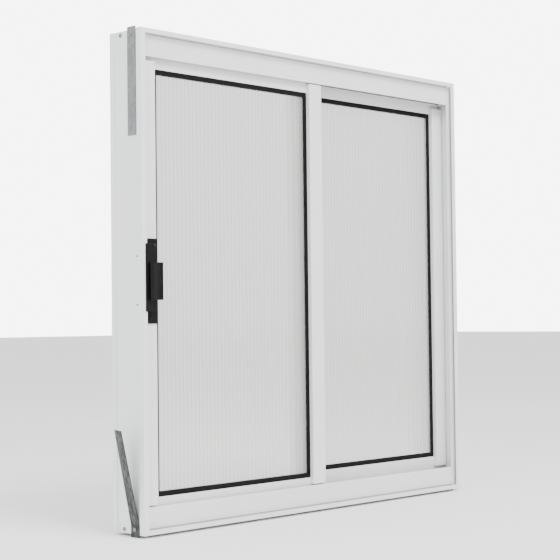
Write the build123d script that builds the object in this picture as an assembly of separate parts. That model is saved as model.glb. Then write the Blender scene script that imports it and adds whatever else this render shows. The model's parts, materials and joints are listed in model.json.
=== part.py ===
"""Two-leaf horizontal sliding window in white aluminium, with reeded glass and a pull latch.

Frame of reference, in millimetres: X runs along the window, Y runs from the room (-Y) to the
outside (+Y) and Z is up. The origin is the centre of the sill's front seating flange, on its
underside. The front sash closes against the left jamb and opens towards +X. The rear sash is its
mirror image, one track back.
Depths called "..._Y" are measured from the room face of the frame, and "..._IN" from its side.
"""
import os

from build123d import *

# ---------------------------------------------------------------- overall sizes
WIDTH = 1000.0
HEIGHT = 1000.0
DEPTH = 98.0

# ---------------------------------------------------------------- frame extrusions
WALL = 1.5
FACE_Y = 9.5              # main face of head, sill and jambs
JAMB_LIP = 12.0           # width of the jamb's cover lip
RAIL_LIP = 9.5            # height of the lip on head and sill
SILL_HEIGHT = 53.3
HEAD_HEIGHT = 54.2
RAIL_GROOVE = 11.3        # far side of the trim groove on head and sill
JAMB_GROOVE = 5.2         # far side of the trim groove on the jambs
GROOVE_BACK_Y = 13.0
WEB_IN = 3.7              # how far the outer web is set in from the flanges
REAR_FLANGE = 10.0
STRIP_IN = 19.7           # inner edge of the strip that covers the front closing stile
MIDDLE_Y = 32.6           # wall between the two tracks
MIDDLE_HEIGHT = 46.0      # the sill's; the head's comes down as far as its face
REAR_WALL_PLAY = 0.7      # the rear wall is this much farther from the middle wall than a track
REAR_WALL_HEIGHT = 44.0
REAR_LEG_IN = 22.0        # inner face of the jamb's outer chamber
CHAMBER_HIGH = 30.0       # top of the outer chamber at the rear wall
CHAMBER_LOW = 23.0        # and at the outside, so that rain runs off
RIB_WIDTH = 2.0
RIB_TOP = 30.0
GUIDE_DROP = 45.0         # how far the head's guide ribs hang below the frame top
JOINT_GAP = 0.1           # play where two frame bars meet
LIP_JOINT = 0.4           # open joint between the lips of a jamb and of sill or head
PORT_FRONT = (32.0, 9.5)  # screw ports as (depth, height)
PORT_REAR = (67.0, 7.7)
PORT_SIZE = 8.0
DRAIN_LENGTH = 25.0
DRAIN_HEIGHT = 5.0
DRAIN_COUNT = 3

# ---------------------------------------------------------------- sashes
TRACK_PITCH = 23.7
SASH_WALL = 1.4
STILE_FACE_Y = 11.5
RAIL_FACE_Y = 20.3
SASH_BACK_Y = 31.5
COVER_IN = 7.2            # outer edge of the closing stile's cover flange
CLOSING_IN = 12.0         # outer face of the closing stile's body
CLOSING_EDGE_IN = 45.2    # glass side of the closing stile
MEETING_EDGE = 29.7       # far edge of the meeting stile, past the centre line
MEETING_WIDTH = 38.6
SASH_BOTTOM = 33.0
SASH_TOP_GAP = 35.0       # top of the sash, below the frame top
PANE_BOTTOM = 69.7
REAR_PANE_RISE = 8.5      # the rear bottom rail is this much taller
PANE_TOP_GAP = 75.8
FACE_GAP = 2.5            # stile faces stop short of sill and head
FACE_GAP_CLOSING = 7.9
GLAZING_BITE = 7.6
CHANNEL_WALL = 1.2
CHANNEL_SET_IN = 0.9      # between the glazing channel and the back wall of a stile or rail
SCREW_PORT = 6.0

# ---------------------------------------------------------------- interlock hooks
HOOK_WALL = 1.0
HOOK_INSET = 1.4
HOOK_TIP = 34.0
HOOK_PLAY = 0.3
HOOK_MARGIN = 8.0

# ---------------------------------------------------------------- glazing
GASKET_LIP = 1.7
GASKET_SHOWN = 13.5
GASKET_PLAY = 0.6
GASKET_RECESS = 0.2
GLASS_SLOT = 4.2
GLASS_PLAY = 0.1
GLASS_INSET = 3.0
REED_PITCH = 10.6
REED_HEIGHT = 0.9

# ---------------------------------------------------------------- rollers and guides
WHEEL_RADIUS = 10.0
WHEEL_TREAD = 8.0
WHEEL_WIDTH = 5.0
TREAD_WIDTH = 3.0
TREAD_LIFT = 0.05
AXLE_RADIUS = 2.0
AXLE_CLEARANCE = 0.05
AXLE_SEAT = 0.02
AXLE_END_PLAY = 0.4
ROLLER_INSET = 45.0
ROLLER_BLOCK = (40.0, 19.0)        # length and height of a roller housing
ROLLER_SLOT = 6.0
ROLLER_BLOCK_FLOOR = 3.2
GUIDE_BLOCK = (30.0, 14.0)
GUIDE_CLEARANCE = 0.4
GUIDE_FLOOR = 2.5

# ---------------------------------------------------------------- seals and stops
PILE_HEIGHT = 5.0
PILE_MARGIN = 2.0
PILE_CLEARANCE = 0.3
BUMPER_DEPTH = 8.0
BUMPER_Z = (32.5, 44.5)            # beside the sill's ribs, below its face
BUMPER_PLAY = 0.2
TRAVEL = 450.0

# ---------------------------------------------------------------- fasteners
SCREW_RADIUS = 1.9
SCREW_CLEARANCE = 0.05
SCREW_LENGTH = 32.0
HEAD_RADIUS = 4.0
HEAD_THICKNESS = 2.2
SLOT_WIDTH = 1.0
SLOT_DEPTH = 1.1
SMALL_SCREW_RADIUS = 1.5
SMALL_HEAD_RADIUS = 3.0
SMALL_SCREW_LENGTH = 24.0

# ---------------------------------------------------------------- masonry anchors
ANCHOR_WIDTH = 25.0
ANCHOR_THICKNESS = 2.0
ANCHOR_OVERRUN = 5.5
ANCHOR_BEND = 18.0        # bend line, from the end of the jamb
ANCHOR_LENGTH = 217.0
ANCHOR_BEND_GAP = 0.1
ANCHOR_SPREAD = 12.5      # degrees that the lower left anchor stands out
ANCHOR_TWIST = 10.0       # degrees that its tip is twisted

# ---------------------------------------------------------------- latch
LATCH_Z = 500.0           # height of the hook pivot
PLATE_IN = (20.5, 45.2)
PLATE_Y = (9.0, 11.5)
PLATE_Z = (-85.6, 83.0)
PLATE_CORNER = 2.5
PLATE_SCREW_IN = 28.0
PLATE_SCREW_Z = (-73.0, 69.0)
SHELL_IN = (7.5, 36.0)
SHELL_Y = -2.6
SHELL_Z = (-62.0, 72.5)
SHELL_WALL = 1.6
SHELL_CORNER = 1.2
WING_BACK_Y = -0.6
WINDOW_IN = (22.5, 29.9)
LUG_LENGTH = 4.0
LUG_DEPTH = 5.6
BOSS_RADIUS = 3.4
HANDLE_LENGTH = 74.5
HANDLE_Z = -1.8
HANDLE_PLAY = 0.5
HANDLE_WALL = 2.4
HANDLE_FRONT = (           # front of the handle's section, from the left rounding to the lip
    (13.6, -7.6),
    (14.6, -10.6),
    (18.4, -11.9),
    (26.0, -10.8),
    (33.0, -7.6),
    (39.5, -7.0),
    (42.8, -9.6),
    (45.2, -9.4),
)
HANDLE_LEFT_BACK = (16.4, -6.7)
HANDLE_PIN_IN = 26.5
HANDLE_PIN_Y = 1.4
HANDLE_HUB = 2.6
HANDLE_ROUND = 0.9
PIN_RADIUS = 1.2
PIN_CLEARANCE = 0.04
HOOK_PIVOT_IN = 26.0
HOOK_PIN_RADIUS = 1.5
LATCH_HOOK_Y = (17.1, 19.1)
LATCH_HOOK_REACH = 19.5
LATCH_HOOK_ARM = 2.2      # half the arm's width
LATCH_HOOK_BEAK = 6.0
LATCH_HOOK_BEAK_LENGTH = 2.4
LATCH_HOOK_HUB = 4.0
CATCH_SLOT_Z = (-2.8, 17.0)
CATCH_SLOT_Y = (16.6, 19.6)
SPRING_WALL = 0.4
SPRING_OFFSET = 1.0       # beside the handle's hub
SPRING_WIDTH = 4.0
SPRING_LENGTH = 30.0

# ---------------------------------------------------------------- keeper
KEEPER_WALL = 1.2
KEEPER_STAND = 5.6        # height of the keeper above the jamb's web
KEEPER_Y = (15.0, 26.0)
KEEPER_LENGTH = 118.0
KEEPER_SCREW_SPACING = 96.0
KEEPER_SCREW_Y = 20.5
KEEPER_SCREW_TIP = 2.0

# ---------------------------------------------------------------- derived places
LEFT = -WIDTH / 2
HEAD_BOTTOM = HEIGHT - HEAD_HEIGHT
SASH_TOP = HEIGHT - SASH_TOP_GAP
PANE_TOP = HEIGHT - PANE_TOP_GAP
PANE_LEFT = LEFT + CLOSING_EDGE_IN
PANE_RIGHT = MEETING_EDGE - MEETING_WIDTH
WEB_FACE_IN = WEB_IN + WALL
GROOVE_END_Y = GROOVE_BACK_Y + WALL
ROOM = -GROOVE_END_Y / 2
LEG_FROM_Y = DEPTH - REAR_FLANGE
REAR_WALL_Y = MIDDLE_Y + TRACK_PITCH + REAR_WALL_PLAY
CHANNEL_Y = RAIL_FACE_Y + CHANNEL_WALL
CHANNEL_BACK_Y = SASH_BACK_Y - SASH_WALL - CHANNEL_WALL - CHANNEL_SET_IN
TRACK_Y = (RAIL_FACE_Y + SASH_BACK_Y) / 2
WHEEL_Z = RIB_TOP + WHEEL_TREAD + TREAD_LIFT
ROLLER_X = (PANE_LEFT + ROLLER_INSET, PANE_RIGHT - ROLLER_INSET)


# ================================================================ helpers
def span(x, y, z):
    """Block from its (low, high) limits, with y counted from the room face."""
    size = (x[1] - x[0], y[1] - y[0], z[1] - z[0])
    return Pos(x[0], ROOM + y[0], z[0]) * Box(*size, align=(Align.MIN,) * 3)


def fuse(shapes):
    """One solid from several that touch."""
    first, *rest = shapes
    return first.fuse(*rest).clean() if rest else first


def cylinder_x(radius, x, y, z):
    """Cylinder along X between two x values."""
    return Pos((x[0] + x[1]) / 2, ROOM + y, z) * Rot(0, 90, 0) * Cylinder(radius, x[1] - x[0])


def cylinder_y(radius, x, y, z):
    """Cylinder along Y between two depths."""
    return Pos(x, ROOM + (y[0] + y[1]) / 2, z) * Rot(90, 0, 0) * Cylinder(radius, y[1] - y[0])


def cylinder_z(radius, x, y, z):
    """Cylinder along Z between two heights."""
    return Pos(x, ROOM + y, (z[0] + z[1]) / 2) * Cylinder(radius, z[1] - z[0])


def mirrored(shape):
    """The same shape on the other side of the window's centre plane."""
    return shape.mirror(Plane.YZ)


def flipped(shape):
    """The same piece at the top of the frame instead of the bottom."""
    return Pos(0, 0, HEIGHT) * shape.mirror(Plane.XY)


def to_rear(shape):
    """A front-sash piece turned into its rear-sash counterpart."""
    return Pos(0, TRACK_PITCH, 0) * mirrored(shape)


def each(place, shapes):
    """Apply place to one shape, or to every shape of a list."""
    return [place(shape) for shape in shapes] if isinstance(shapes, list) else place(shapes)


def pan_screw(radius, head_radius, length):
    """Slotted pan-head screw, head seat at the origin, shank along +X."""
    head = Pos(-HEAD_THICKNESS / 2, 0, 0) * Rot(0, 90, 0) * Cylinder(head_radius, HEAD_THICKNESS)
    rim = head.edges().group_by(Axis.X)[0]
    head = head.fillet(HEAD_THICKNESS * 0.45, rim)
    slot = Pos(-HEAD_THICKNESS, 0, 0) * Box(2 * SLOT_DEPTH, SLOT_WIDTH, 2 * head_radius)
    shank = Pos(length / 2, 0, 0) * Rot(0, 90, 0) * Cylinder(radius, length)
    shank = shank.chamfer(radius * 0.5, None, shank.edges().group_by(Axis.X)[-1])
    return fuse([head - slot, shank])


# ================================================================ frame
def bar_walls(height, middle, rib_top):
    """Walls of a sill section as (y, z) limits; the head uses them upside down."""
    walls = [
        ((0, WALL), (0, RAIL_LIP)),
        ((0, GROOVE_END_Y), (0, WALL)),
        ((GROOVE_BACK_Y, GROOVE_END_Y), (0, RAIL_GROOVE + WALL)),
        ((FACE_Y, GROOVE_END_Y), (RAIL_GROOVE, RAIL_GROOVE + WALL)),
        ((FACE_Y, FACE_Y + WALL), (RAIL_GROOVE, height)),
        ((GROOVE_BACK_Y, LEG_FROM_Y), (WEB_IN, WEB_FACE_IN)),
        ((MIDDLE_Y, MIDDLE_Y + WALL), (WEB_IN, middle)),
        ((REAR_WALL_Y, REAR_WALL_Y + WALL), (WEB_IN, REAR_WALL_HEIGHT)),
        ((LEG_FROM_Y - WALL, LEG_FROM_Y), (0, WEB_FACE_IN)),
        ((LEG_FROM_Y - WALL, DEPTH), (0, WALL)),
        ((DEPTH - WALL, DEPTH), (0, CHAMBER_LOW)),
    ]
    for centre in (TRACK_Y, TRACK_Y + TRACK_PITCH):
        walls.append(((centre - RIB_WIDTH / 2, centre + RIB_WIDTH / 2), (WEB_IN, rib_top)))
    for y, z in (PORT_FRONT, PORT_REAR):
        walls.append(((y - PORT_SIZE / 2, y + PORT_SIZE / 2), (WEB_IN, z + PORT_SIZE / 2)))
    return walls


def chamber_top(reach):
    """Sloping wall that closes the outer chamber and sheds rain."""
    corners = [
        (REAR_WALL_Y, CHAMBER_HIGH),
        (DEPTH, CHAMBER_LOW),
        (DEPTH, CHAMBER_LOW - WALL),
        (REAR_WALL_Y, CHAMBER_HIGH - WALL),
    ]
    outline = Polyline(*[(-reach, ROOM + y, z) for y, z in corners], close=True)
    return extrude(make_face(outline), 2 * reach, dir=(1, 0, 0))


def frame_bar(height, middle, rib_top):
    """Sill bar between the jamb webs, coped to clear each jamb's lip, strip and chamber."""
    reach = -LEFT - WEB_FACE_IN - JOINT_GAP
    pieces = [span((-reach, reach), y, z) for y, z in bar_walls(height, middle, rib_top)]
    bar = fuse([*pieces, chamber_top(reach)])
    copes = [
        (JAMB_LIP + LIP_JOINT, (-1, WALL)),
        (STRIP_IN + JOINT_GAP, (WALL, GROOVE_END_Y + JOINT_GAP)),
        (REAR_LEG_IN + JOINT_GAP, (REAR_WALL_Y - JOINT_GAP, DEPTH + 1)),
    ]
    cuts = []
    for jamb_in, y in copes:
        cut = span((LEFT - 1, LEFT + jamb_in), y, (-1, HEIGHT))
        cuts += [cut, mirrored(cut)]
    radius = SCREW_RADIUS + SCREW_CLEARANCE
    cuts += [cylinder_x(radius, (-reach - 1, reach + 1), y, z) for y, z in (PORT_FRONT, PORT_REAR)]
    return bar.cut(*cuts)


def make_sill():
    """Sill with two running ribs and drain slots through its middle and rear walls."""
    sill = frame_bar(SILL_HEIGHT, MIDDLE_HEIGHT, RIB_TOP)
    pitch = WIDTH / (DRAIN_COUNT + 1)
    slots = []
    for i in range(DRAIN_COUNT):
        centre = LEFT + pitch * (i + 1)
        x = (centre - DRAIN_LENGTH / 2, centre + DRAIN_LENGTH / 2)
        for wall_y, low in ((MIDDLE_Y, WEB_FACE_IN), (REAR_WALL_Y, CHAMBER_HIGH)):
            z = (low + WALL, low + WALL + DRAIN_HEIGHT)
            slots.append(span(x, (wall_y - 1, wall_y + WALL + 1), z))
    return sill.cut(*slots)


def make_head():
    """Head: the same section upside down, with hanging guide ribs."""
    return flipped(frame_bar(HEAD_HEIGHT, HEAD_HEIGHT, GUIDE_DROP))


def make_jamb_left():
    """Left jamb: cover lip, trim groove, strip over the front sash, web and outer chamber."""
    pieces = [
        ((0, JAMB_LIP), (0, WALL)),
        ((0, WALL), (0, GROOVE_END_Y)),
        ((0, JAMB_GROOVE + WALL), (GROOVE_BACK_Y, GROOVE_END_Y)),
        ((JAMB_GROOVE, JAMB_GROOVE + WALL), (FACE_Y, GROOVE_END_Y)),
        ((JAMB_GROOVE, STRIP_IN), (FACE_Y, FACE_Y + WALL)),
        ((WEB_IN, WEB_FACE_IN), (GROOVE_BACK_Y, LEG_FROM_Y)),
        ((WEB_IN, REAR_LEG_IN), (REAR_WALL_Y, REAR_WALL_Y + WALL)),
        ((REAR_LEG_IN - WALL, REAR_LEG_IN), (REAR_WALL_Y, DEPTH)),
        ((0, WEB_FACE_IN), (LEG_FROM_Y - WALL, LEG_FROM_Y)),
        ((0, WALL), (LEG_FROM_Y - WALL, DEPTH)),
        ((0, REAR_LEG_IN), (DEPTH - WALL, DEPTH)),
    ]
    jamb = fuse([span((LEFT + x[0], LEFT + x[1]), y, (0, HEIGHT)) for x, y in pieces])
    bores = [
        cylinder_x(SCREW_RADIUS + SCREW_CLEARANCE, (LEFT + WEB_IN - 1, LEFT + REAR_LEG_IN + 1), y, z)
        for y, low in (PORT_FRONT, PORT_REAR)
        for z in (low, HEIGHT - low)
    ]
    return jamb.cut(*bores)


def keeper_screw_heights():
    """Heights of the two keeper screws."""
    return (LATCH_Z - KEEPER_SCREW_SPACING / 2, LATCH_Z + KEEPER_SCREW_SPACING / 2)


def keeper_holes():
    """Clearance holes for the keeper's screws through keeper and jamb web."""
    x = (LEFT, LEFT + WEB_FACE_IN + KEEPER_STAND + 1)
    radius = SMALL_SCREW_RADIUS + SCREW_CLEARANCE
    return [cylinder_x(radius, x, KEEPER_SCREW_Y, z) for z in keeper_screw_heights()]


def make_keeper():
    """Raised strike plate on the left jamb's web, with a slot that the hook enters."""
    low, high = LATCH_Z - KEEPER_LENGTH / 2, LATCH_Z + KEEPER_LENGTH / 2
    face = LEFT + WEB_FACE_IN
    block = span((face, face + KEEPER_STAND), KEEPER_Y, (low, high))
    block = block.fillet(KEEPER_WALL, block.edges().group_by(Axis.X)[-1])
    screws = keeper_screw_heights()
    reach = SMALL_HEAD_RADIUS + KEEPER_WALL
    hollow = span(
        (face - 1, face + KEEPER_STAND - KEEPER_WALL),
        (KEEPER_Y[0] + KEEPER_WALL, KEEPER_Y[1] - KEEPER_WALL),
        (screws[0] + reach, screws[1] - reach),
    )
    slot_z = (LATCH_Z + CATCH_SLOT_Z[0], LATCH_Z + CATCH_SLOT_Z[1])
    slot = span((face, face + KEEPER_STAND + 1), CATCH_SLOT_Y, slot_z)
    seats = [keeper_screw_head(z, SCREW_CLEARANCE) for z in screws]
    return block.cut(hollow, slot, *seats, *keeper_holes())


def keeper_screw_head(z, play):
    """Countersunk head that narrows towards the jamb, flush with the keeper's face."""
    radius = SMALL_SCREW_RADIUS + play
    depth = SMALL_HEAD_RADIUS - SMALL_SCREW_RADIUS
    face = LEFT + WEB_FACE_IN + KEEPER_STAND
    cone = Rot(0, 90, 0) * Cone(radius, radius + depth, depth)
    return Pos(face - depth / 2, ROOM + KEEPER_SCREW_Y, z) * cone


def make_keeper_screws():
    """Two countersunk screws whose tips show outside the jamb's web."""
    face = LEFT + WEB_FACE_IN + KEEPER_STAND
    screws = []
    for z in keeper_screw_heights():
        shank = cylinder_x(SMALL_SCREW_RADIUS, (LEFT + KEEPER_SCREW_TIP, face), KEEPER_SCREW_Y, z)
        shank = shank.chamfer(SMALL_SCREW_RADIUS * 0.5, None, shank.edges().group_by(Axis.X)[0])
        screws.append(fuse([shank, keeper_screw_head(z, 0)]))
    return screws


def corner_screws(port, seat_in):
    """Four pan-head screws into one port at each corner, seated seat_in from the frame's sides."""
    y, low = port
    screw = pan_screw(SCREW_RADIUS, HEAD_RADIUS, SCREW_LENGTH)
    left = [Pos(LEFT + seat_in, ROOM + y, z) * screw for z in (low, HEIGHT - low)]
    return left + each(mirrored, left)


# ================================================================ masonry anchors
def anchor_depth():
    """Depth limits of the anchors, centred on the front screw port."""
    return (PORT_FRONT[0] - ANCHOR_WIDTH / 2, PORT_FRONT[0] + ANCHOR_WIDTH / 2)


def anchor_foot():
    """Foot of the lower left anchor, screwed to the jamb's web."""
    x = (LEFT + WEB_IN - ANCHOR_THICKNESS, LEFT + WEB_IN)
    high = ANCHOR_BEND - ANCHOR_THICKNESS / 2 - ANCHOR_BEND_GAP
    foot = span(x, anchor_depth(), (-ANCHOR_OVERRUN, high))
    return foot - cylinder_x(SCREW_RADIUS + SCREW_CLEARANCE, (LEFT, LEFT + WEB_IN + 1), *PORT_FRONT)


def anchor_leaf(spread, twist):
    """Lower left anchor's leaf, turned out by spread about its bend and twisted at its tip."""
    bend_x = LEFT + WEB_IN - ANCHOR_THICKNESS / 2
    centre_y = ROOM + PORT_FRONT[0]
    section = Rectangle(ANCHOR_THICKNESS, ANCHOR_WIDTH)
    root = Pos(bend_x, centre_y, ANCHOR_BEND) * section
    tip = Pos(bend_x, centre_y, ANCHOR_LENGTH - ANCHOR_OVERRUN) * Rot(0, 0, -twist) * section
    knuckle = cylinder_y(ANCHOR_THICKNESS / 2, bend_x, anchor_depth(), ANCHOR_BEND)
    leaf = fuse([loft([root, tip], ruled=True), knuckle])
    return leaf.rotate(Axis((bend_x, 0, ANCHOR_BEND), (0, -1, 0)), spread)


# ================================================================ sashes
def stile_walls(edge, outer, cover, face_top, pane_low):
    """Hollow stile with a glazing channel, fused from the (x, y, z) limits of its walls.

    edge is the glass side, outer the far side and cover the far end of the front flange.
    """
    side = 1 if edge > outer else -1
    body_x, face_x = sorted((edge, outer)), sorted((edge, cover))
    floor_at = edge - side * GLAZING_BITE
    edge_wall = sorted((edge, edge - side * SASH_WALL))
    outer_wall = sorted((outer, outer + side * SASH_WALL))
    floor = sorted((floor_at, floor_at - side * SASH_WALL))
    proud = (SILL_HEIGHT + FACE_GAP, face_top)
    body = (SASH_BOTTOM, SASH_TOP)
    back = (SASH_BACK_Y - SASH_WALL, SASH_BACK_Y)
    walls = [
        (face_x, (STILE_FACE_Y, STILE_FACE_Y + SASH_WALL), proud),
        (edge_wall, (STILE_FACE_Y, CHANNEL_Y), proud),
        (outer_wall, (STILE_FACE_Y, RAIL_FACE_Y), proud),
        (outer_wall, (RAIL_FACE_Y, SASH_BACK_Y), body),
        (body_x, (RAIL_FACE_Y, CHANNEL_Y), body),
        (body_x, back, body),
        (sorted((edge, floor_at)), (CHANNEL_BACK_Y, CHANNEL_BACK_Y + CHANNEL_WALL), body),
        (edge_wall, (CHANNEL_BACK_Y, SASH_BACK_Y), body),
        (floor, (RAIL_FACE_Y, SASH_BACK_Y), body),
    ]
    stile = fuse([span(*wall) for wall in walls])
    bore_x = sorted((floor_at - side * (SASH_WALL + 1), edge + side))
    half = RIB_WIDTH / 2 + GUIDE_CLEARANCE
    notch_z = (HEIGHT - GUIDE_DROP - GUIDE_FLOOR / 2, HEIGHT)
    notch = span((LEFT, -LEFT), (TRACK_Y - half, TRACK_Y + half), notch_z)
    return stile.cut(notch, *rail_screw_holes(bore_x, pane_low))


def rail_screw_heights(pane_low):
    """Heights of the screws that join the rails to the stiles."""
    return (pane_low - GLAZING_BITE - SCREW_PORT, PANE_TOP + GLAZING_BITE + SCREW_PORT)


def rail_screw_holes(x, pane_low):
    """Clearance bores for the rail screws over a range of x."""
    radius = SMALL_SCREW_RADIUS + SCREW_CLEARANCE
    return [cylinder_x(radius, x, TRACK_Y, z) for z in rail_screw_heights(pane_low)]


def make_closing_stile(pane_low):
    """Stile that closes against the jamb, with a cover flange behind the jamb's strip."""
    top = HEAD_BOTTOM - FACE_GAP_CLOSING
    return stile_walls(PANE_LEFT, LEFT + CLOSING_IN, LEFT + COVER_IN, top, pane_low)


def make_meeting_stile(pane_low):
    """Stile at the middle of the window, without its hook."""
    return stile_walls(PANE_RIGHT, MEETING_EDGE, MEETING_EDGE, HEAD_BOTTOM - FACE_GAP, pane_low)


def hook_heights():
    """Height range of an interlock hook, clear of the walls between the tracks."""
    return (MIDDLE_HEIGHT + HOOK_MARGIN, HEAD_BOTTOM - HOOK_MARGIN)


def interlock_hook(back_y):
    """Thin hook behind a front meeting stile, its tip pointing towards -X."""
    root = MEETING_EDGE - HOOK_INSET
    web = span((root - HOOK_WALL, root), (SASH_BACK_Y, back_y), hook_heights())
    tip = span((root - HOOK_TIP, root), (back_y - HOOK_WALL, back_y), hook_heights())
    return [web, tip]


def make_front_meeting_stile():
    """Front meeting stile: its hook reaches back to just before the rear sash."""
    back_y = STILE_FACE_Y + TRACK_PITCH - HOOK_PLAY
    return fuse([make_meeting_stile(PANE_BOTTOM), *interlock_hook(back_y)])


def make_rear_meeting_stile():
    """Rear meeting stile: its hook reaches forward and points towards +X."""
    root = HOOK_INSET - MEETING_EDGE
    front_y = SASH_BACK_Y + HOOK_PLAY
    web = span((root, root + HOOK_WALL), (front_y, STILE_FACE_Y + TRACK_PITCH), hook_heights())
    tip = span((root, root + HOOK_TIP), (front_y, front_y + HOOK_WALL), hook_heights())
    return fuse([to_rear(make_meeting_stile(PANE_BOTTOM + REAR_PANE_RISE)), web, tip])


def rail(opening, edge, port_z):
    """Rail between the stiles, open on its far side; edge is the glass side."""
    side = 1 if edge > opening else -1
    floor_at = edge - side * GLAZING_BITE
    floor = sorted((floor_at, floor_at - side * SASH_WALL))
    port = (port_z - SCREW_PORT / 2, port_z + SCREW_PORT / 2)
    walls = [
        ((RAIL_FACE_Y, CHANNEL_Y), sorted((opening, edge))),
        ((SASH_BACK_Y - SASH_WALL, SASH_BACK_Y), sorted((opening, edge))),
        ((RAIL_FACE_Y, SASH_BACK_Y), floor),
        ((CHANNEL_BACK_Y, CHANNEL_BACK_Y + CHANNEL_WALL), sorted((edge, floor_at))),
        ((CHANNEL_BACK_Y, SASH_BACK_Y), sorted((edge, edge - side * SASH_WALL))),
        ((TRACK_Y - SCREW_PORT / 2, SASH_BACK_Y), port),
    ]
    bar = fuse([span((PANE_LEFT, PANE_RIGHT), y, z) for y, z in walls])
    radius = SMALL_SCREW_RADIUS + SCREW_CLEARANCE
    return bar - cylinder_x(radius, (PANE_LEFT - 1, PANE_RIGHT + 1), TRACK_Y, port_z)


def make_bottom_rail(pane_low):
    """Bottom rail, open below for the rollers."""
    return rail(SASH_BOTTOM, pane_low, rail_screw_heights(pane_low)[0])


def make_top_rail():
    """Top rail, open above for the guide blocks."""
    return rail(SASH_TOP, PANE_TOP, rail_screw_heights(PANE_BOTTOM)[1])


def make_sash_screws(pane_low):
    """Screws through the stiles into the ends of the rails."""
    screws = []
    left = pan_screw(SMALL_SCREW_RADIUS, SMALL_HEAD_RADIUS, SMALL_SCREW_LENGTH)
    seat = GLAZING_BITE + SASH_WALL
    for z in rail_screw_heights(pane_low):
        screws.append(Pos(PANE_LEFT - seat, ROOM + TRACK_Y, z) * left)
        screws.append(Pos(PANE_RIGHT + seat, ROOM + TRACK_Y, z) * mirrored(left))
    return screws


# ================================================================ glazing
def glazing_box(inset, pane_low):
    """(x, z) limits of the glazing, inset from the floors of the channels."""
    grow = GLAZING_BITE - inset
    return (PANE_LEFT - grow, PANE_RIGHT + grow), (pane_low - grow, PANE_TOP + grow)


def make_gasket(pane_low):
    """Black U-section gasket around the pane, its shown lip nearly flush with the rails."""
    x, z = glazing_box(GASKET_PLAY, pane_low)
    ring = span(x, (CHANNEL_Y, CHANNEL_BACK_Y), z)
    lip_x, lip_z = glazing_box(GLAZING_BITE + GASKET_PLAY / 2, pane_low)
    lip = span(lip_x, (RAIL_FACE_Y + GASKET_RECESS, CHANNEL_Y + 1), lip_z)
    hole_x, hole_z = glazing_box(GLAZING_BITE + GASKET_SHOWN, pane_low)
    hole = span(hole_x, (0, DEPTH), hole_z)
    slot_x, slot_z = glazing_box(GASKET_PLAY + GLASS_INSET, pane_low)
    slot = span(slot_x, (glass_front_y(), glass_front_y() + GLASS_SLOT), slot_z)
    return fuse([ring, lip]).cut(hole, slot)


def glass_front_y():
    """Depth of the front of the glass slot."""
    return RAIL_FACE_Y + GASKET_RECESS + GASKET_LIP


def make_glass(pane_low):
    """Reeded pane: upright half-round reeds on the room side, flat on the outside."""
    x, z = glazing_box(GASKET_PLAY + GLASS_INSET + GLASS_PLAY, pane_low)
    count = round((x[1] - x[0]) / REED_PITCH)
    pitch = (x[1] - x[0]) / count
    crest = ROOM + glass_front_y() + GLASS_PLAY
    valley = crest + REED_HEIGHT
    back = ROOM + glass_front_y() + GLASS_SLOT - GLASS_PLAY
    edges = []
    for i in range(count):
        start = x[0] + i * pitch
        edges.append(ThreePointArc((start, valley), (start + pitch / 2, crest), (start + pitch, valley)))
    edges.append(Polyline((x[1], valley), (x[1], back), (x[0], back), (x[0], valley)))
    face = make_face(Curve() + edges)
    return Pos(0, 0, z[0]) * extrude(face, z[1] - z[0], dir=(0, 0, 1))


# ================================================================ rollers, guides, seals
def make_wheel(x):
    """Grooved nylon wheel that runs on the sill's rib."""
    low, high = TRACK_Y - WHEEL_WIDTH / 2, TRACK_Y + WHEEL_WIDTH / 2
    wheel = cylinder_y(WHEEL_RADIUS, x, (low, high), WHEEL_Z)
    tread = (TRACK_Y - TREAD_WIDTH / 2, TRACK_Y + TREAD_WIDTH / 2)
    groove = cylinder_y(WHEEL_RADIUS + 1, x, tread, WHEEL_Z) - cylinder_y(WHEEL_TREAD, x, tread, WHEEL_Z)
    bore = cylinder_y(AXLE_RADIUS + AXLE_CLEARANCE, x, (low - 1, high + 1), WHEEL_Z)
    return wheel - groove - bore


def make_axles():
    """Steel axles of the two rollers of one sash."""
    y = (CHANNEL_Y + AXLE_END_PLAY, SASH_BACK_Y - SASH_WALL - AXLE_END_PLAY)
    return [cylinder_y(AXLE_RADIUS, x, y, WHEEL_Z) for x in ROLLER_X]


def make_roller_housings():
    """Moulded housings that fill the rail's width and carry the axles."""
    length, height = ROLLER_BLOCK
    low = WHEEL_Z - WHEEL_TREAD + ROLLER_BLOCK_FLOOR
    y = (CHANNEL_Y, SASH_BACK_Y - SASH_WALL)
    slot_y = (TRACK_Y - ROLLER_SLOT / 2, TRACK_Y + ROLLER_SLOT / 2)
    housings = []
    for x in ROLLER_X:
        block = span((x - length / 2, x + length / 2), y, (low, low + height))
        reach = WHEEL_RADIUS + 2
        slot = span((x - reach, x + reach), slot_y, (low - 1, WHEEL_Z + reach))
        rib_way = span((x - length, x + length), slot_y, (low - 1, RIB_TOP + 4))
        bore = cylinder_y(AXLE_RADIUS + AXLE_SEAT, x, (0, DEPTH), WHEEL_Z)
        housings.append(block - slot - rib_way - bore)
    return housings


def make_guide_blocks():
    """Slotted blocks in the top rail that run along the head's hanging rib."""
    length, height = GUIDE_BLOCK
    low = SASH_TOP - height
    half = RIB_WIDTH / 2 + GUIDE_CLEARANCE
    blocks = []
    for x in (PANE_LEFT + length, PANE_RIGHT - length):
        block_y = (CHANNEL_Y, SASH_BACK_Y - SASH_WALL)
        way_y = (TRACK_Y - half, TRACK_Y + half)
        block = span((x - length / 2, x + length / 2), block_y, (low, SASH_TOP))
        way = span((x - length, x + length), way_y, (low + GUIDE_FLOOR, SASH_TOP + 1))
        blocks.append(block - way)
    return blocks


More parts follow.
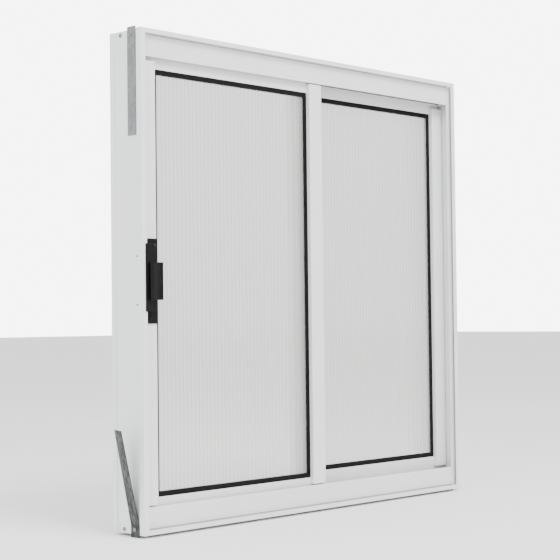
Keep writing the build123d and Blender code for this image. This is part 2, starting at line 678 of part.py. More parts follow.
def make_interlock_pile():
    """Brush strip on the front hook's tip, facing the rear hook."""
    back = STILE_FACE_Y + TRACK_PITCH - HOOK_PLAY - HOOK_WALL
    front = SASH_BACK_Y + HOOK_PLAY + HOOK_WALL + PILE_CLEARANCE
    return span((-PILE_HEIGHT / 2, PILE_HEIGHT / 2), (front, back), hook_heights())


def make_track_pile(middle, rear):
    """Brush strips on the track side of the middle wall and the rear wall of the sill."""
    reach = -LEFT - REAR_LEG_IN - JOINT_GAP
    strips = []
    for back_y, wall_y, top in (
        (SASH_BACK_Y, MIDDLE_Y, middle),
        (SASH_BACK_Y + TRACK_PITCH, REAR_WALL_Y, rear),
    ):
        high = top - PILE_MARGIN
        strips.append(span((-reach, reach), (back_y + PILE_CLEARANCE, wall_y), (high - PILE_HEIGHT, high)))
    return strips


def make_bumpers():
    """Rubber stops low on the jamb webs that each fully opened sash comes up to."""
    x = (MEETING_EDGE + TRAVEL + BUMPER_PLAY, -LEFT - WEB_FACE_IN)
    pad = span(x, (TRACK_Y - BUMPER_DEPTH / 2, TRACK_Y + BUMPER_DEPTH / 2), BUMPER_Z)
    return [pad, to_rear(pad)]


# ================================================================ latch
def latch_span(x, y, z):
    """Block with x counted from the frame's left side and z from the hook pivot."""
    return span((LEFT + x[0], LEFT + x[1]), y, (LATCH_Z + z[0], LATCH_Z + z[1]))


def make_latch_plate():
    """Back plate of the latch, screwed to the closing stile."""
    plate = latch_span(PLATE_IN, PLATE_Y, PLATE_Z)
    plate = plate.fillet(PLATE_CORNER, plate.edges().filter_by(Axis.Y))
    return plate.cut(*latch_bores())


def latch_bores():
    """Bores for the latch screws and the hook's pin, through everything in front of the hook."""
    radius = SMALL_SCREW_RADIUS + SCREW_CLEARANCE
    y = (SHELL_Y - 1, LATCH_HOOK_Y[0])
    bores = [cylinder_y(radius, LEFT + PLATE_SCREW_IN, y, LATCH_Z + z) for z in PLATE_SCREW_Z]
    pin_y = (PLATE_Y[0] - 1, LATCH_HOOK_Y[0])
    bores.append(cylinder_y(HOOK_PIN_RADIUS + AXLE_SEAT, LEFT + HOOK_PIVOT_IN, pin_y, LATCH_Z))
    return bores


def stile_hook_way():
    """Slot in the edge of the closing stile that the hook swings through."""
    return latch_span((CLOSING_IN - 1, CLOSING_IN + SASH_WALL + 1), CATCH_SLOT_Y, CATCH_SLOT_Z)


def make_latch_screws():
    """Two slotted screws: the upper one through the shell's boss, the lower one on the plate."""
    screws = []
    for z, seat_y in zip(PLATE_SCREW_Z, (PLATE_Y[0], SHELL_Y)):
        shank = STILE_FACE_Y + SASH_WALL + 2 - seat_y
        screw = Rot(0, 0, 90) * pan_screw(SMALL_SCREW_RADIUS, SMALL_HEAD_RADIUS, shank)
        screws.append(Pos(LEFT + PLATE_SCREW_IN, ROOM + seat_y, LATCH_Z + z) * screw)
    return screws


def make_latch_shell():
    """Hollow shell with a wing over the jamb, a window for the handle and lugs for its pin."""
    body = latch_span((PLATE_IN[0], SHELL_IN[1]), (SHELL_Y, PLATE_Y[0]), SHELL_Z)
    wing = latch_span((SHELL_IN[0], PLATE_IN[0] + 1), (SHELL_Y, WING_BACK_Y), SHELL_Z)
    block = fuse([body, wing])
    block = block.fillet(SHELL_CORNER, block.edges().group_by(Axis.Y)[0])
    hollow = latch_span(
        (PLATE_IN[0] + SHELL_WALL, SHELL_IN[1] - SHELL_WALL),
        (SHELL_Y + SHELL_WALL, PLATE_Y[0] + 1),
        (SHELL_Z[0] + SHELL_WALL, SHELL_Z[1] - SHELL_WALL),
    )
    half = HANDLE_LENGTH / 2 + HANDLE_PLAY
    window = latch_span(WINDOW_IN, (SHELL_Y - 1, 1), (HANDLE_Z - half, HANDLE_Z + half))
    x = (PLATE_IN[0] + SHELL_WALL, HANDLE_PIN_IN + LUG_LENGTH)
    y = (SHELL_Y + SHELL_WALL, SHELL_Y + SHELL_WALL + LUG_DEPTH)
    lugs = [
        latch_span(x, y, (HANDLE_Z - half - LUG_LENGTH, HANDLE_Z - half)),
        latch_span(x, y, (HANDLE_Z + half, HANDLE_Z + half + LUG_LENGTH)),
    ]
    boss_y = (SHELL_Y + SHELL_WALL, PLATE_Y[0])
    boss = cylinder_y(BOSS_RADIUS, LEFT + PLATE_SCREW_IN, boss_y, LATCH_Z + PLATE_SCREW_Z[1])
    shell = fuse([block.cut(hollow, window), *lugs, boss])
    return shell.cut(handle_pin(AXLE_SEAT, LUG_LENGTH), latch_bores()[1])


def handle_pin(play, reach):
    """Pin through the handle's hub, reaching past each end of the handle."""
    half = HANDLE_LENGTH / 2 + HANDLE_PLAY + reach
    z = (LATCH_Z + HANDLE_Z - half, LATCH_Z + HANDLE_Z + half)
    return cylinder_z(PIN_RADIUS + play, LEFT + HANDLE_PIN_IN, HANDLE_PIN_Y, z)


def make_latch_handle():
    """Pull with a rounded left side, a finger scoop and a lip beside the glass."""
    left, right = HANDLE_PIN_IN - HANDLE_HUB, HANDLE_PIN_IN + HANDLE_HUB
    back = [(x, y + HANDLE_WALL) for x, y in reversed(HANDLE_FRONT[4:])]
    neck_y = HANDLE_LEFT_BACK[1] + HANDLE_WALL / 2
    neck = [(right, neck_y), (right, HANDLE_PIN_Y), (left, HANDLE_PIN_Y), (left, HANDLE_LEFT_BACK[1])]
    points = [(LEFT + x, ROOM + y) for x, y in [*HANDLE_FRONT, *back, *neck, HANDLE_LEFT_BACK]]
    section = make_face(Polyline(*points, close=True))
    rounded = section.vertices().group_by(Axis.Y)[0] + section.vertices().group_by(Axis.X)[0]
    section = fillet(rounded, HANDLE_ROUND)
    half = HANDLE_LENGTH / 2
    low = LATCH_Z + HANDLE_Z - half
    pull = Pos(0, 0, low) * extrude(section, HANDLE_LENGTH, dir=(0, 0, 1))
    hub = cylinder_z(HANDLE_HUB, LEFT + HANDLE_PIN_IN, HANDLE_PIN_Y, (low, low + HANDLE_LENGTH))
    return fuse([pull, hub]) - handle_pin(PIN_CLEARANCE, 1)


def make_latch_hook():
    """Hook drawn up inside the stile; it swings about Y through the stile into the keeper."""
    centre = LEFT + HOOK_PIVOT_IN
    hub = cylinder_y(LATCH_HOOK_HUB, centre, LATCH_HOOK_Y, LATCH_Z)
    arm_x = (HOOK_PIVOT_IN - LATCH_HOOK_ARM, HOOK_PIVOT_IN + LATCH_HOOK_ARM)
    arm = latch_span(arm_x, LATCH_HOOK_Y, (0, LATCH_HOOK_REACH))
    beak_z = (LATCH_HOOK_REACH - LATCH_HOOK_BEAK_LENGTH, LATCH_HOOK_REACH)
    beak = latch_span((HOOK_PIVOT_IN - LATCH_HOOK_BEAK, arm_x[1]), LATCH_HOOK_Y, beak_z)
    bore = cylinder_y(HOOK_PIN_RADIUS + PIN_CLEARANCE, centre, (0, DEPTH), LATCH_Z)
    return fuse([hub, arm, beak]) - bore


def make_latch_hook_pin():
    """Pin that carries the hook, from the latch plate to the middle wall of the stile."""
    y = (PLATE_Y[0] + JOINT_GAP, RAIL_FACE_Y - JOINT_GAP)
    return cylinder_y(HOOK_PIN_RADIUS, LEFT + HOOK_PIVOT_IN, y, LATCH_Z)


def make_latch_spring():
    """Leaf spring on the plate that holds the handle in its two positions."""
    x_from = HANDLE_PIN_IN + HANDLE_HUB + SPRING_OFFSET
    x = (x_from, x_from + SPRING_WIDTH)
    z = (HANDLE_Z - SPRING_LENGTH / 2, HANDLE_Z + SPRING_LENGTH / 2)
    return latch_span(x, (PLATE_Y[0] - SPRING_WALL, PLATE_Y[0]), z)


# ================================================================ assembly
def frame_nodes():
    """Pieces of the fixed frame."""
    jamb = make_jamb_left()
    feet = [anchor_foot(), flipped(anchor_foot())]
    return {
        "jamb_left": jamb.cut(*keeper_holes()),
        "jamb_right": mirrored(jamb),
        "head": make_head(),
        "sill": make_sill(),
        "frame_corner_screws": corner_screws(PORT_REAR, WEB_IN),
        "anchor_screws": corner_screws(PORT_FRONT, WEB_IN - ANCHOR_THICKNESS),
        "anchor_feet": feet + each(mirrored, feet),
        "anchor_leaf_lower_left": anchor_leaf(ANCHOR_SPREAD, ANCHOR_TWIST),
        "anchor_leaf_upper_left": flipped(anchor_leaf(0, 0)),
        "anchor_leaf_lower_right": mirrored(anchor_leaf(0, 0)),
        "anchor_leaf_upper_right": mirrored(flipped(anchor_leaf(0, 0))),
        "keeper": make_keeper(),
        "keeper_screws": make_keeper_screws(),
        "head_pile": each(flipped, make_track_pile(HEAD_HEIGHT, REAR_WALL_HEIGHT)),
        "sill_pile": make_track_pile(MIDDLE_HEIGHT, REAR_WALL_HEIGHT),
        "track_bumpers": make_bumpers(),
    }


def sash_nodes(prefix, pane_low, place):
    """Pieces that both sashes have, moved to their track by place."""
    shapes = {
        "closing_stile": make_closing_stile(pane_low),
        "bottom_rail": make_bottom_rail(pane_low),
        "top_rail": make_top_rail(),
        "sash_screws": make_sash_screws(pane_low),
        "gasket": make_gasket(pane_low),
        "glass": make_glass(pane_low),
        "roller_housings": make_roller_housings(),
        "roller_axles": make_axles(),
        "wheel_outer": make_wheel(ROLLER_X[0]),
        "wheel_inner": make_wheel(ROLLER_X[1]),
        "guide_blocks": make_guide_blocks(),
    }
    return {f"{prefix}_{name}": each(place, shape) for name, shape in shapes.items()}


def all_sash_nodes():
    """Pieces of both sashes; the rear ones are the front ones mirrored, one track back."""
    front = sash_nodes("front", PANE_BOTTOM, lambda shape: shape)
    stile = front["front_closing_stile"]
    front["front_closing_stile"] = stile.cut(stile_hook_way(), *latch_bores())
    front["front_meeting_stile"] = make_front_meeting_stile()
    rear = sash_nodes("rear", PANE_BOTTOM + REAR_PANE_RISE, to_rear)
    rear["rear_meeting_stile"] = make_rear_meeting_stile()
    return {**front, **rear, "interlock_pile": make_interlock_pile()}


def latch_nodes():
    """Pieces of the pull latch on the front sash."""
    return {
        "latch_plate": make_latch_plate(),
        "latch_shell": make_latch_shell(),
        "latch_handle": make_latch_handle(),
        "latch_handle_pin": handle_pin(0, LUG_LENGTH - 1),
        "latch_hook": make_latch_hook(),
        "latch_hook_pin": make_latch_hook_pin(),
        "latch_spring": make_latch_spring(),
        "latch_screws": make_latch_screws(),
    }


os.makedirs("parts", exist_ok=True)
for node, shape in {**frame_nodes(), **all_sash_nodes(), **latch_nodes()}.items():
    whole = Compound(children=shape) if isinstance(shape, list) else shape
    export_step(whole, f"parts/{node}.step")
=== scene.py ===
"""Looks for the two-leaf sliding window: finishes, rounded gaskets and studio."""

import json
import logging
from dataclasses import dataclass, field
from enum import Enum
from math import cos, radians, sin

import bmesh
import bpy
from mathutils import Matrix, Vector


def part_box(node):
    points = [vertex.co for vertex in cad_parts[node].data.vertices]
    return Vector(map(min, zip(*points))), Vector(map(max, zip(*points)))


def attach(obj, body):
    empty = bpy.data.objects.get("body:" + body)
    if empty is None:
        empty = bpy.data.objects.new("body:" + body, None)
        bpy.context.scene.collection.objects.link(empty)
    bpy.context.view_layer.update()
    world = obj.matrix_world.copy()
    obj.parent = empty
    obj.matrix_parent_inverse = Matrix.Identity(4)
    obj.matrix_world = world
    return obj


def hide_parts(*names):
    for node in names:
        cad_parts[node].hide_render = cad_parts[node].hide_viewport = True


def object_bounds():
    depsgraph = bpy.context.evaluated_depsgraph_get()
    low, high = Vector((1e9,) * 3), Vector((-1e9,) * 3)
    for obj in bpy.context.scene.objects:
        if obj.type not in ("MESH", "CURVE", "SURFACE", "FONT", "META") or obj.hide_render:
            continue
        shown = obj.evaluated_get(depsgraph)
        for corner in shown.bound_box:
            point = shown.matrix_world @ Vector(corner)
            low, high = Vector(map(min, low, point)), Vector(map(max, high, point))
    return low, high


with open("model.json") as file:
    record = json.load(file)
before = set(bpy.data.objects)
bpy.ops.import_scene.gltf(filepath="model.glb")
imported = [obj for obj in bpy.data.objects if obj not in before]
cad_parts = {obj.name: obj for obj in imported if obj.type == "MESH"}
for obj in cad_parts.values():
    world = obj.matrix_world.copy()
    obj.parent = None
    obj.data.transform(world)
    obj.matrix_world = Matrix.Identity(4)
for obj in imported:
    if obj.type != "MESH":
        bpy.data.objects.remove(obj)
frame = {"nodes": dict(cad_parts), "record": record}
CAD_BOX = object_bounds()

LOG = logging.getLogger("sliding_window")
MM = 0.001
# sockets of a Mix node when it mixes colours
MIX_LOW, MIX_HIGH, MIX_RESULT = 6, 7, 2
EDGE_SAMPLES = 6
Point = tuple[float, float, float]
Colour = tuple[float, float, float, float]


class Side(Enum):
    """The two sashes, named by the track that they run on."""

    FRONT = "front"
    REAR = "rear"


def grey(value: float, warmth: float = 0.0) -> Colour:
    """A grey with a little warmth: positive leans to yellow, negative to blue."""
    return (value * (1 + warmth), value, value * (1 - warmth), 1.0)


@dataclass
class Nodes:
    """A new node material and short ways to add and join its nodes.

    Attributes:
        name: the material's name.
        material: the new material.
        tree: its node tree.
        shader: its Principled shader.
        place: the socket that gives Object coordinates.
    """

    name: str
    material: bpy.types.Material = field(init=False)
    tree: bpy.types.NodeTree = field(init=False)
    shader: bpy.types.Node = field(init=False)
    place: bpy.types.NodeSocket = field(init=False)

    def __post_init__(self) -> None:
        """Make the material and keep its shader and Object coordinates."""
        self.material = bpy.data.materials.new(self.name)
        self.material.use_nodes = True
        self.tree = self.material.node_tree
        self.shader = self.tree.nodes["Principled BSDF"]
        self.place = self.add("ShaderNodeTexCoord").outputs["Object"]

    def add(self, kind: str, **values: object) -> bpy.types.Node:
        """Add a node.

        Args:
            kind: the node's type name.
            **values: socket values by name, with underscores for spaces.

        Returns:
            The new node.
        """
        node = self.tree.nodes.new(kind)
        for name, value in values.items():
            node.inputs[name.replace("_", " ")].default_value = value
        return node

    def link(self, source: bpy.types.NodeSocket, target: bpy.types.NodeSocket) -> None:
        """Join two sockets."""
        self.tree.links.new(source, target)

    def set(self, **values: object) -> None:
        """Set constants on the shader's own sockets."""
        for name, value in values.items():
            self.shader.inputs[name.replace("_", " ")].default_value = value

    def stretched(self, scale: Point) -> bpy.types.NodeSocket:
        """Object coordinates scaled by a different number along each axis."""
        mapping = self.add("ShaderNodeMapping", Scale=scale)
        self.link(self.place, mapping.inputs["Vector"])
        return mapping.outputs["Vector"]

    def noise(self, scale: float, detail: float = 3.0, stretch: Point = (1, 1, 1)) -> bpy.types.NodeSocket:
        """Noise from 0 to 1.

        Args:
            scale: features per metre.
            detail: octaves of finer noise.
            stretch: extra scale along each axis.

        Returns:
            The factor socket.
        """
        node = self.add("ShaderNodeTexNoise", Scale=scale, Detail=detail)
        self.link(self.stretched(stretch), node.inputs["Vector"])
        return node.outputs["Fac"]

    def ranged(self, source: bpy.types.NodeSocket, low: float, high: float,
               start: float = 0.3, end: float = 0.7) -> bpy.types.NodeSocket:
        """Map source from start..end onto low..high.

        Args:
            source: the value to map.
            low: result at start.
            high: result at end.
            start: source value that gives low.
            end: source value that gives high.

        Returns:
            The mapped value's socket.
        """
        node = self.add("ShaderNodeMapRange")
        for name, value in (("From Min", start), ("From Max", end), ("To Min", low), ("To Max", high)):
            node.inputs[name].default_value = value
        self.link(source, node.inputs["Value"])
        return node.outputs["Result"]

    def tint(self, factor: bpy.types.NodeSocket, low: Colour, high: Colour) -> None:
        """Colour the shader between two colours by factor."""
        mix = self.add("ShaderNodeMix")
        mix.data_type = "RGBA"
        mix.inputs[MIX_LOW].default_value = low
        mix.inputs[MIX_HIGH].default_value = high
        self.link(factor, mix.inputs["Factor"])
        self.link(mix.outputs[MIX_RESULT], self.shader.inputs["Base Color"])

    def relief(self, height: bpy.types.NodeSocket, depth: float, edge: float = 0.0) -> None:
        """Bump the surface.

        Args:
            height: height from 0 to 1.
            depth: height of the bumps in metres.
            edge: radius by which sharp edges are shaded round, in metres.
        """
        bump = self.add("ShaderNodeBump", Strength=1.0, Distance=depth)
        self.link(height, bump.inputs["Height"])
        if edge:
            rounded = self.add("ShaderNodeBevel", Radius=edge)
            rounded.samples = EDGE_SAMPLES
            self.link(rounded.outputs["Normal"], bump.inputs["Normal"])
        self.link(bump.outputs["Normal"], self.shader.inputs["Normal"])


# ---------------------------------------------------------------- finishes
@dataclass(frozen=True)
class PowderCoat:
    """Satin white powder coat with a fine orange peel and faint handling marks."""

    low: Colour = grey(0.72, -0.006)
    high: Colour = grey(0.77, -0.003)
    peel_per_metre: float = 900.0
    peel_depth: float = 0.03 * MM
    edge: float = 0.45 * MM

    def build(self) -> bpy.types.Material:
        """Make the material."""
        nodes = Nodes("powder_coat")
        nodes.set(IOR=1.5)
        nodes.tint(nodes.ranged(nodes.noise(6.0), 0.0, 1.0), self.low, self.high)
        rubbed = nodes.noise(40.0, 4.0, (1.0, 1.0, 0.35))
        nodes.link(nodes.ranged(rubbed, 0.34, 0.46), nodes.shader.inputs["Roughness"])
        nodes.relief(nodes.noise(self.peel_per_metre, 2.0), self.peel_depth, self.edge)
        return nodes.material


@dataclass(frozen=True)
class GalvanisedSteel:
    """Dull galvanised strip, darker towards the bottom, with a faint spangle and scuffs.

    Attributes:
        darkest_below: height under which the zinc has its darkest tone.
        lightest_above: height over which it has its lightest tone.
        shades: where the bottom and top tones lie between the two colours.
        spangle: how far one crystal's shade moves from that, down and up.
    """

    low: Colour = grey(0.030, -0.02)
    high: Colour = grey(0.30, -0.01)
    darkest_below: float = 0.20
    lightest_above: float = 0.80
    shades: tuple[float, float] = (0.1, 0.75)
    spangle: tuple[float, float] = (-0.1, 0.15)
    spangle_per_metre: float = 160.0
    edge: float = 0.3 * MM

    def build(self) -> bpy.types.Material:
        """Make the material."""
        nodes = Nodes("galvanised_steel")
        nodes.set(Metallic=0.75)
        cells = nodes.add("ShaderNodeTexVoronoi", Scale=self.spangle_per_metre)
        nodes.link(nodes.stretched((1.0, 1.0, 0.6)), cells.inputs["Vector"])
        shade = nodes.add("ShaderNodeSeparateColor")
        nodes.link(cells.outputs["Color"], shade.inputs["Color"])
        height = nodes.add("ShaderNodeSeparateXYZ")
        nodes.link(nodes.place, height.inputs["Vector"])
        # darker towards the bottom: the zinc's tone follows height alone
        height_tone = nodes.ranged(height.outputs["Z"], *self.shades, self.darkest_below, self.lightest_above)
        patchy = nodes.add("ShaderNodeMath")
        patchy.operation = "ADD"
        nodes.link(height_tone, patchy.inputs[0])
        nodes.link(nodes.ranged(shade.outputs["Red"], *self.spangle, 0.0, 1.0), patchy.inputs[1])
        nodes.tint(patchy.outputs[0], self.low, self.high)
        scuffs = nodes.noise(120.0, 4.0, (1.0, 1.0, 0.08))
        nodes.link(nodes.ranged(scuffs, 0.34, 0.58), nodes.shader.inputs["Roughness"])
        nodes.relief(scuffs, 0.05 * MM, self.edge)
        return nodes.material


@dataclass(frozen=True)
class ReededGlass:
    """Obscure glass: slightly warm, each reed painted lighter on one side as a highlight and darker on the
    other as shade, with fine upright draw lines.

    Attributes:
        shading_slope: the sideways part of a reed's normal at which its painted highlight or painted shade
            is full.
    """

    # low is the painted shade and high the painted highlight on the reeds' sides; flat glass gets its own
    # tone, halfway between them
    low: Colour = grey(0.70, 0.020)
    high: Colour = grey(0.99, 0.006)
    shading_slope: float = 0.3
    transmission: float = 0.80
    lines_per_metre: float = 420.0

    def build(self) -> bpy.types.Material:
        """Make the material."""
        nodes = Nodes("reeded_glass")
        nodes.set(IOR=1.5, Transmission_Weight=self.transmission)
        lines = nodes.noise(self.lines_per_metre, 2.0, (1.0, 1.0, 0.004))
        reed_shading = nodes.add("ShaderNodeSeparateXYZ")
        nodes.link(nodes.add("ShaderNodeNewGeometry").outputs["Normal"], reed_shading.inputs["Vector"])
        # painted light and shade: reed sides facing -X are painted lighter, and sides facing +X darker
        nodes.tint(nodes.ranged(reed_shading.outputs["X"], 0.0, 1.0, self.shading_slope, -self.shading_slope), self.low, self.high)
        nodes.link(nodes.ranged(nodes.noise(30.0), 0.08, 0.14), nodes.shader.inputs["Roughness"])
        nodes.relief(lines, 0.12 * MM)
        return nodes.material


@dataclass(frozen=True)
class DarkSurface:
    """Black or grey finish with a fine grain: rubber, black metal or brush pile."""

    name: str
    low: Colour
    high: Colour
    smooth: float
    rough: float
    grain_per_metre: float
    grain_depth: float
    stretch: Point = (1.0, 1.0, 1.0)
    edge: float = 0.3 * MM
    specular: float = 0.10

    def build(self) -> bpy.types.Material:
        """Make the material."""
        nodes = Nodes(self.name)
        nodes.set(Specular_IOR_Level=self.specular)
        grain = nodes.noise(self.grain_per_metre, 3.0, self.stretch)
        nodes.tint(nodes.ranged(nodes.noise(60.0), 0.0, 1.0), self.low, self.high)
        nodes.link(nodes.ranged(grain, self.smooth, self.rough), nodes.shader.inputs["Roughness"])
        nodes.relief(grain, self.grain_depth, self.edge)
        return nodes.material


@dataclass(frozen=True)
class BrightMetal:
    """Zinc-plated steel for screws, axles and the keeper."""

    low: Colour = grey(0.22, -0.01)
    high: Colour = grey(0.30, 0.01)

    def build(self) -> bpy.types.Material:
        """Make the material."""
        nodes = Nodes("zinc_steel")
        nodes.set(Metallic=0.9)
        nodes.tint(nodes.ranged(nodes.noise(300.0), 0.0, 1.0), self.low, self.high)
        nodes.link(nodes.ranged(nodes.noise(800.0), 0.26, 0.42), nodes.shader.inputs["Roughness"])
        nodes.relief(nodes.noise(1500.0, 2.0), 0.02 * MM, 0.2 * MM)
        return nodes.material


@dataclass(frozen=True)
class NaturalNylon:
    """Slightly translucent moulded nylon for rollers, housings and guides."""

    low: Colour = grey(0.66, 0.03)
    high: Colour = grey(0.72, 0.02)

    def build(self) -> bpy.types.Material:
        """Make the material."""
        nodes = Nodes("natural_nylon")
        nodes.set(Subsurface_Weight=0.15, Subsurface_Scale=2 * MM)
        nodes.tint(nodes.ranged(nodes.noise(50.0), 0.0, 1.0), self.low, self.high)
        nodes.link(nodes.ranged(nodes.noise(400.0), 0.38, 0.52), nodes.shader.inputs["Roughness"])
        nodes.relief(nodes.noise(1200.0, 2.0), 0.02 * MM, 0.2 * MM)
        return nodes.material


BLACK_RUBBER = DarkSurface("black_rubber", grey(0.003), grey(0.006), 0.50, 0.70, 900.0, 0.04 * MM)
STOP_RUBBER = DarkSurface("stop_rubber", grey(0.020), grey(0.035), 0.60, 0.80, 700.0, 0.06 * MM)
BLACK_COAT = DarkSurface("black_coat", grey(0.004), grey(0.007), 0.30, 0.44, 1400.0, 0.03 * MM)
BLACK_SCREW = DarkSurface("black_screw", grey(0.012), grey(0.022), 0.24, 0.38, 900.0, 0.03 * MM)
BRUSH_PILE = DarkSurface(
    "brush_pile", grey(0.16), grey(0.30), 0.80, 0.95, 1500.0, 0.4 * MM, (1.0, 0.15, 0.15), 0.0
)


class Finishes:
    """The finish of each of the record's material slots, and the slot of each CAD node."""

    def __init__(self, record: dict) -> None:
        """Build the materials.

        Args:
            record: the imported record, whose subparts name a slot for each node.
        """
        self.by_slot = {
            "powder_coat": PowderCoat().build(),
            "galvanised": GalvanisedSteel().build(),
            "reeded_glass": ReededGlass().build(),
            "gasket": BLACK_RUBBER.build(),
            "stop_rubber": STOP_RUBBER.build(),
            "pile": BRUSH_PILE.build(),
            "latch_black": BLACK_COAT.build(),
            "black_steel": BLACK_SCREW.build(),
            "nylon": NaturalNylon().build(),
            "zinc_steel": BrightMetal().build(),
        }
        self.slot_of = {part["node"]: part["material_slot"] for part in record["subparts"]}

    def dress_node(self, node: str) -> None:
        """Give a CAD node the finish of its slot."""
        mesh = frame["nodes"][node].data
        mesh.materials.clear()
        mesh.materials.append(self.by_slot[self.slot_of[node]])
        LOG.info("dressed %s", node)

    def dress_piece(self, piece: bpy.types.Object, slot: str) -> None:
        """Give a new piece the finish of a slot."""
        piece.data.materials.append(self.by_slot[slot])


# ---------------------------------------------------------------- mesh work
def finished(name: str, mesh: bmesh.types.BMesh, body: str) -> bpy.types.Object:
    """Turn a bmesh into an object that rides on a body.

    Args:
        name: the piece's name.
        mesh: a closed mesh in the row frame, in metres.
        body: the CAD body that the piece moves with.

    Returns:
        The new object.
    """
    bmesh.ops.remove_doubles(mesh, verts=mesh.verts, dist=1e-6)
    bmesh.ops.recalc_face_normals(mesh, faces=mesh.faces)
    data = bpy.data.meshes.new(name)
    mesh.to_mesh(data)
    mesh.free()
    piece = bpy.data.objects.new(name, data)
    bpy.context.scene.collection.objects.link(piece)
    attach(piece, body)
    LOG.info("built %s on %s", name, body)
    return piece


def block(mesh: bmesh.types.BMesh, low: Vector, high: Vector) -> list[bmesh.types.BMVert]:
    """Add a box between two corners.

    Args:
        mesh: the mesh to add to.
        low: lowest corner.
        high: highest corner.

    Returns:
        The box's vertices.
    """
    size = Matrix.Diagonal((*(high - low), 1.0))
    placed = Matrix.Translation((low + high) / 2) @ size
    return bmesh.ops.create_cube(mesh, size=1.0, matrix=placed)["verts"]


@dataclass
class GlazingGasket:
    """Rubber gasket with rounded lips that stands for a sash's CAD gasket.

    Attributes:
        side: which sash it belongs to.
        shown: width of rubber that shows beyond the frame.
        hidden: width that is tucked into the channel.
        rounding: radius of the lips.
        facets: steps round each lip.
    """

    side: Side
    shown: float = 13.5 * MM
    hidden: float = 7.3 * MM
    rounding: float = 0.8 * MM
    facets: int = 4

    def build(self, finishes: Finishes) -> None:
        """Make the gasket from its CAD node's box and dress it.

        Args:
            finishes: where its rubber comes from.
        """
        node = f"{self.side.value}_gasket"
        low, high = (Vector(corner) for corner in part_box(node))
        tuck = Vector((self.hidden, 0, self.hidden))
        mesh = bmesh.new()
        block(mesh, low + tuck, high - tuck)
        facing = cos(radians(25))
        faces = [face for face in mesh.faces if abs(face.normal.y) > facing]
        bmesh.ops.inset_individual(mesh, faces=faces, thickness=self.shown)
        bmesh.ops.bridge_loops(mesh, edges=[edge for face in faces for edge in face.edges])
        bmesh.ops.delete(mesh, geom=faces, context="FACES_ONLY")
        longest_across = self.shown * 3
        corner = radians(60)
        sharp = [
            edge for edge in mesh.edges
            if edge.calc_length() > longest_across and edge.calc_face_angle(0) > corner
        ]
        bmesh.ops.bevel(
            mesh, geom=sharp, offset=self.rounding, offset_type="OFFSET", segments=self.facets,
            profile=0.5, affect="EDGES", material=-1,
        )
        piece = finished(f"{self.side.value}_rounded_gasket", mesh, f"{self.side.value}_sash")
        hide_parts(node)
        finishes.dress_piece(piece, "gasket")


# ---------------------------------------------------------------- sub-assemblies
@dataclass
class OuterFrame:
    """Jambs, head and sill with their seals, screws, keeper and stops."""

    nodes: tuple[str, ...] = (
        "jamb_left", "jamb_right", "head", "sill", "frame_corner_screws", "anchor_screws", "keeper",
        "keeper_screws", "head_pile", "sill_pile", "track_bumpers",
    )

    def build(self, finishes: Finishes) -> None:
        """Dress the frame's nodes."""
        for node in self.nodes:
            finishes.dress_node(node)


@dataclass
class WallAnchors:
    """Galvanised straps on the outside of both jambs."""

    ends: tuple[str, ...] = ("lower_left", "upper_left", "lower_right", "upper_right")

    def build(self, finishes: Finishes) -> None:
        """Dress the straps' feet and leaves."""
        for node in ("anchor_feet", *(f"anchor_leaf_{end}" for end in self.ends)):
            finishes.dress_node(node)


@dataclass
class Sash:
    """One sliding sash: stiles, rails, pane, gasket, rollers and guides."""

    side: Side
    pieces: tuple[str, ...] = (
        "closing_stile", "meeting_stile", "bottom_rail", "top_rail", "sash_screws", "glass", "gasket",
        "roller_housings", "roller_axles", "wheel_outer", "wheel_inner", "guide_blocks",
    )

    def build(self, finishes: Finishes) -> None:
        """Dress the sash's nodes and give it a rounded gasket."""
        for piece in self.pieces:
            finishes.dress_node(f"{self.side.value}_{piece}")
        GlazingGasket(self.side).build(finishes)


@dataclass
class PullLatch:
    """Black surface latch on the front sash, with its hook and spring."""

    nodes: tuple[str, ...] = (
        "latch_plate", "latch_shell", "latch_handle", "latch_handle_pin", "latch_hook", "latch_hook_pin",
        "latch_spring", "latch_screws",
    )

    def build(self, finishes: Finishes) -> None:
        """Dress the latch's nodes."""
        for node in self.nodes:
            finishes.dress_node(node)


@dataclass
class Interlock:
    """Brush strip between the two meeting stiles."""

    node: str = "interlock_pile"

    def build(self, finishes: Finishes) -> None:
        """Dress the strip."""
        finishes.dress_node(self.node)


# ---------------------------------------------------------------- studio
@dataclass
class AreaLight:
    """A soft square light aimed at a point."""

    name: str
    at: Point
    aim: Point
    size: float
    watts: float
    warmth: float = 0.0

    def build(self) -> None:
        """Add the light to the scene."""
        light = bpy.data.lights.new(self.name, "AREA")
        light.size = self.size
        light.energy = self.watts
        light.color = grey(1.0, self.warmth)[:3]
        lamp = bpy.data.objects.new(self.name, light)
        lamp.location = self.at
        lamp.rotation_euler = (Vector(self.aim) - Vector(self.at)).to_track_quat("-Z", "Y").to_euler()
        bpy.context.scene.collection.objects.link(lamp)


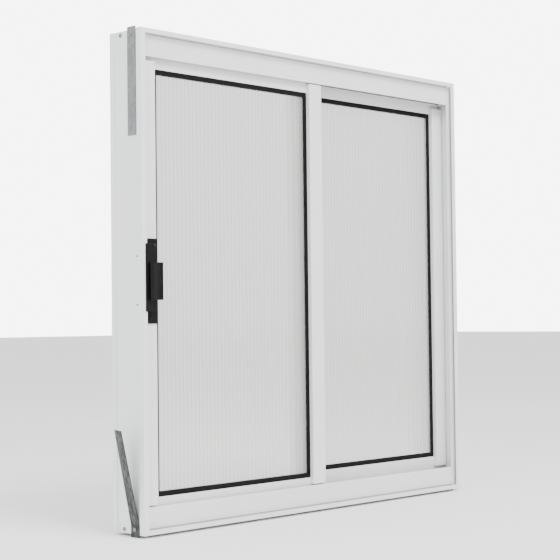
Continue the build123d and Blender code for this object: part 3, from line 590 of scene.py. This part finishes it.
@dataclass
class Studio:
    """Pale floor, soft light and the camera."""

    floor_size: float = 60.0
    floor_gap: float = 0.3 * MM
    paper: tuple[Colour, Colour] = (grey(0.88), grey(0.90))
    backdrop_strength: float = 7.0
    ambient_strength: float = 1.8
    camera_at: Point = (-2.21657, -2.10005, 0.42085)
    heading: float = 45.0672
    pitch: float = 1.6223
    roll: float = -0.6492
    lens: float = 88.416
    lights: tuple[AreaLight, ...] = (
        AreaLight("key", (-3.4, -0.6, 2.2), (-0.5, 0, 0.5), 2.2, 70.0, -0.08),
        AreaLight("overhead", (-0.4, -2.2, 3.6), (0, 0, 0.6), 1.4, 170.0, 0.01),
    )

    def build(self) -> None:
        """Set up floor, world, lights and camera."""
        self.build_floor()
        self.build_world()
        for light in self.lights:
            light.build()
        self.build_camera()

    def build_floor(self) -> None:
        """Lay a pale matt floor just under the lowest part of the object."""
        mesh = bmesh.new()
        bmesh.ops.create_grid(mesh, x_segments=1, y_segments=1, size=self.floor_size / 2)
        bmesh.ops.translate(mesh, verts=mesh.verts, vec=(0, 0, CAD_BOX[0][2] - self.floor_gap))
        data = bpy.data.meshes.new("floor")
        mesh.to_mesh(data)
        mesh.free()
        floor = bpy.data.objects.new("floor", data)
        bpy.context.scene.collection.objects.link(floor)
        nodes = Nodes("floor_paper")
        nodes.tint(nodes.ranged(nodes.noise(3.0), 0.0, 1.0), *self.paper)
        nodes.set(Roughness=0.9)
        data.materials.append(nodes.material)

    def build_world(self) -> None:
        """Light the scene evenly and show a white backdrop behind it."""
        world = bpy.data.worlds.new("studio")
        world.use_nodes = True
        tree = world.node_tree
        ambient = tree.nodes["Background"]
        backdrop = tree.nodes.new("ShaderNodeBackground")
        for background, strength in ((ambient, self.ambient_strength), (backdrop, self.backdrop_strength)):
            background.inputs["Color"].default_value = grey(1.0)
            background.inputs["Strength"].default_value = strength
        seen = tree.nodes.new("ShaderNodeMixShader")
        straight = tree.nodes.new("ShaderNodeLightPath").outputs["Is Camera Ray"]
        tree.links.new(straight, seen.inputs["Fac"])
        for place, background in enumerate((ambient, backdrop), start=1):
            tree.links.new(background.outputs["Background"], seen.inputs[place])
        tree.links.new(seen.outputs["Shader"], tree.nodes["World Output"].inputs["Surface"])
        bpy.context.scene.world = world

    def build_camera(self) -> None:
        """Add the camera, turned by heading from +Y towards +X, then pitch and roll."""
        heading, pitch, roll = radians(self.heading), radians(self.pitch), radians(self.roll)
        ahead = Vector((sin(heading) * cos(pitch), cos(heading) * cos(pitch), sin(pitch)))
        level = Vector((cos(heading), -sin(heading), 0))
        upright = level.cross(ahead)
        right = cos(roll) * level + sin(roll) * upright
        up = cos(roll) * upright - sin(roll) * level
        data = bpy.data.cameras.new("camera")
        data.sensor_width = 36.0
        data.lens = self.lens
        camera = bpy.data.objects.new("camera", data)
        turn = Matrix((right, up, -ahead)).transposed().to_4x4()
        camera.matrix_world = Matrix.Translation(self.camera_at) @ turn
        bpy.context.scene.collection.objects.link(camera)
        bpy.context.scene.camera = camera


def main() -> None:
    """Build the window's looks and the studio, in order."""
    logging.basicConfig(level=logging.INFO, format="%(name)s: %(message)s")
    finishes = Finishes(frame["record"])
    OuterFrame().build(finishes)
    WallAnchors().build(finishes)
    Sash(Side.FRONT).build(finishes)
    Sash(Side.REAR).build(finishes)
    PullLatch().build(finishes)
    Interlock().build(finishes)
    Studio().build()


if __name__ == "__main__":
    main()
